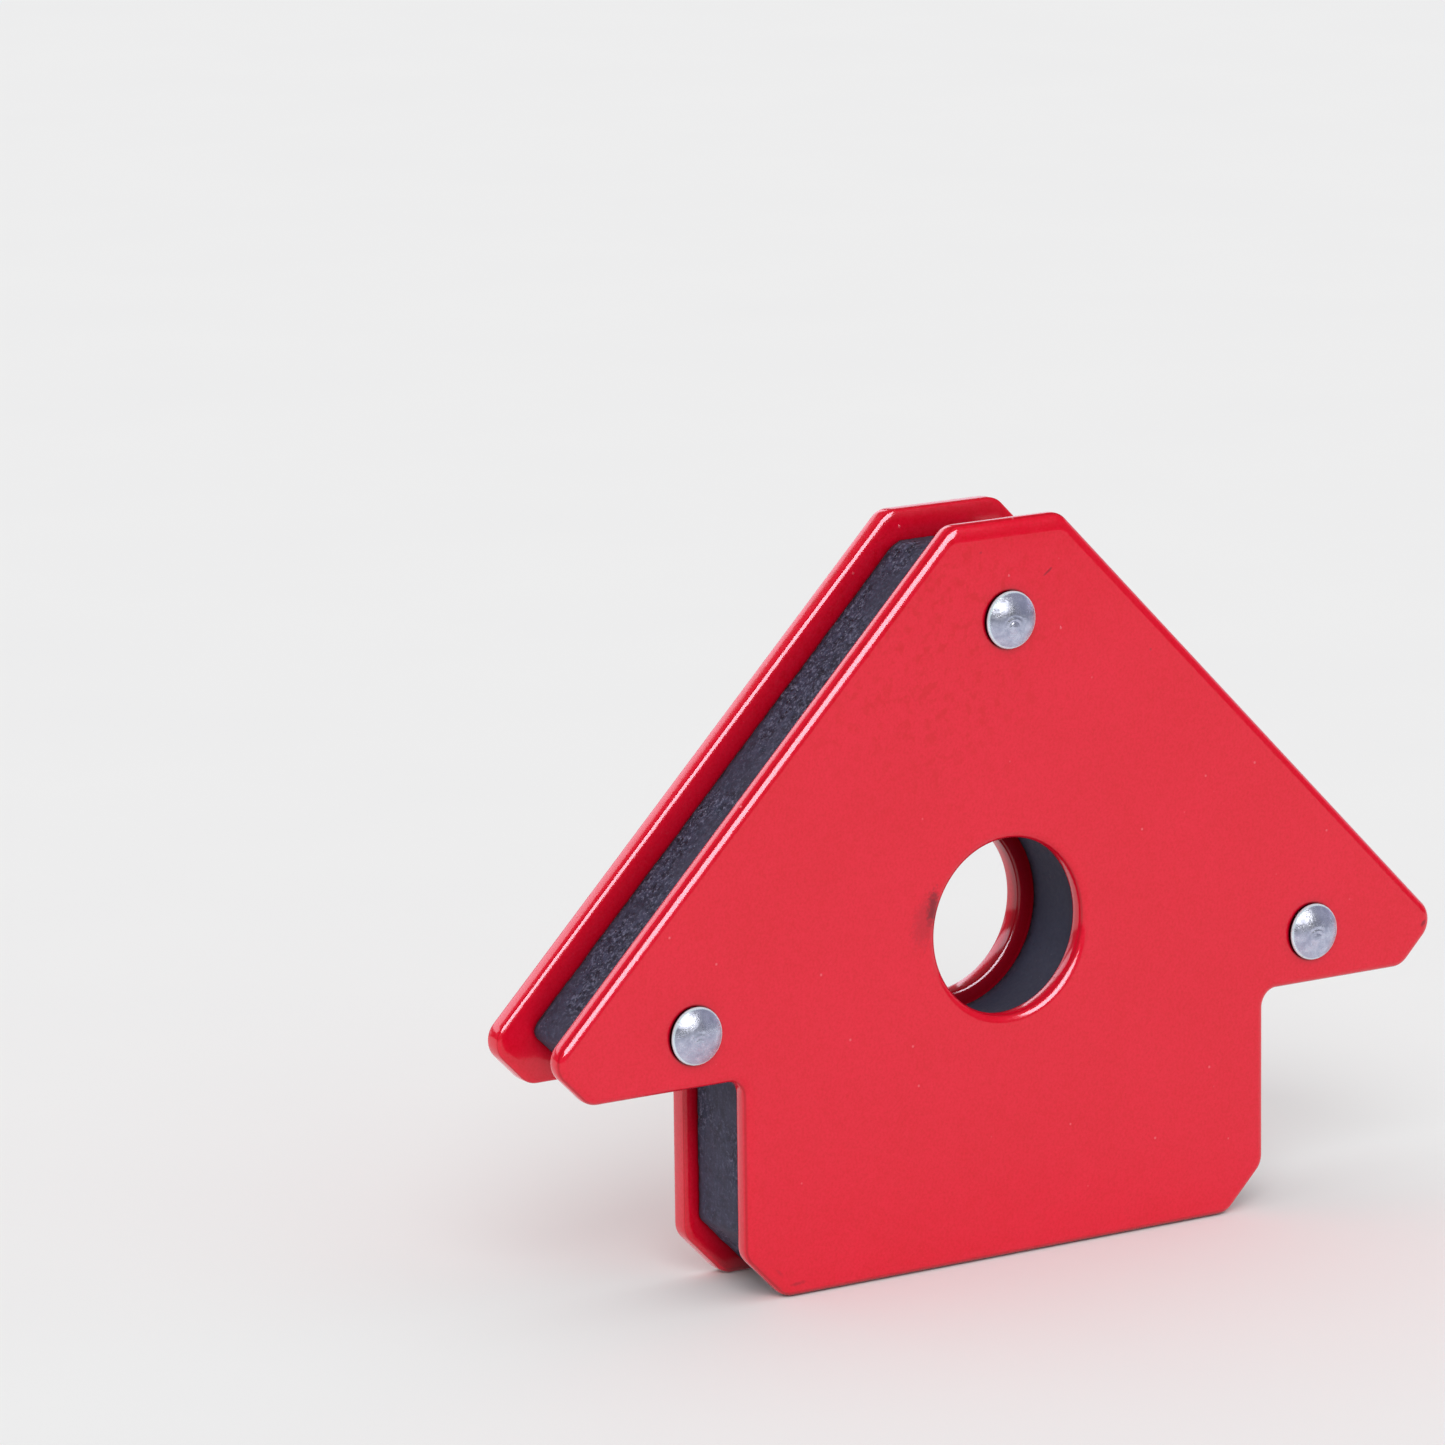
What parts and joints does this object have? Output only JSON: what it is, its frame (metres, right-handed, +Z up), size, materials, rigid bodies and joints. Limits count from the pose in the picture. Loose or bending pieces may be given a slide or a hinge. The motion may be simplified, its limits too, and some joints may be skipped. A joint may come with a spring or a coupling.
{
  "type": "welding magnet holder",
  "caption": "Arrow-shaped magnetic welding holder: red steel pole plates riveted over a dark magnet core, with square and 45 degree edges and a large centre hole.",
  "frame": {"origin": "middle of the base, on the surface the holder stands on, halfway through its thickness", "axes": "+X along the width towards the right wing seen from the front, +Y through the thickness from the front plate to the rear plate, +Z up to the blunt point"},
  "size_m": [0.1194, 0.018, 0.084],
  "materials": {
    "red_powder_coat": "semi-gloss red powder coat",
    "slate_filler": "granular matt moulding",
    "ferrite": "matt sintered",
    "rivet_aluminium": "satin, pressed",
    "sleeve_aluminium": "plain tube"
  },
  "bodies": {
    "root": {"front_plate": "red_powder_coat", "rear_plate": "red_powder_coat", "core_filler": "slate_filler", "magnet_base_left": "ferrite", "magnet_base_right": "ferrite", "magnet_flank_left": "ferrite", "magnet_flank_right": "ferrite", "magnet_crown": "ferrite", "rivet_top": "rivet_aluminium", "rivet_left": "rivet_aluminium", "rivet_right": "rivet_aluminium", "spacer_top": "sleeve_aluminium", "spacer_left": "sleeve_aluminium", "spacer_right": "sleeve_aluminium"}
  },
  "joints": []
}
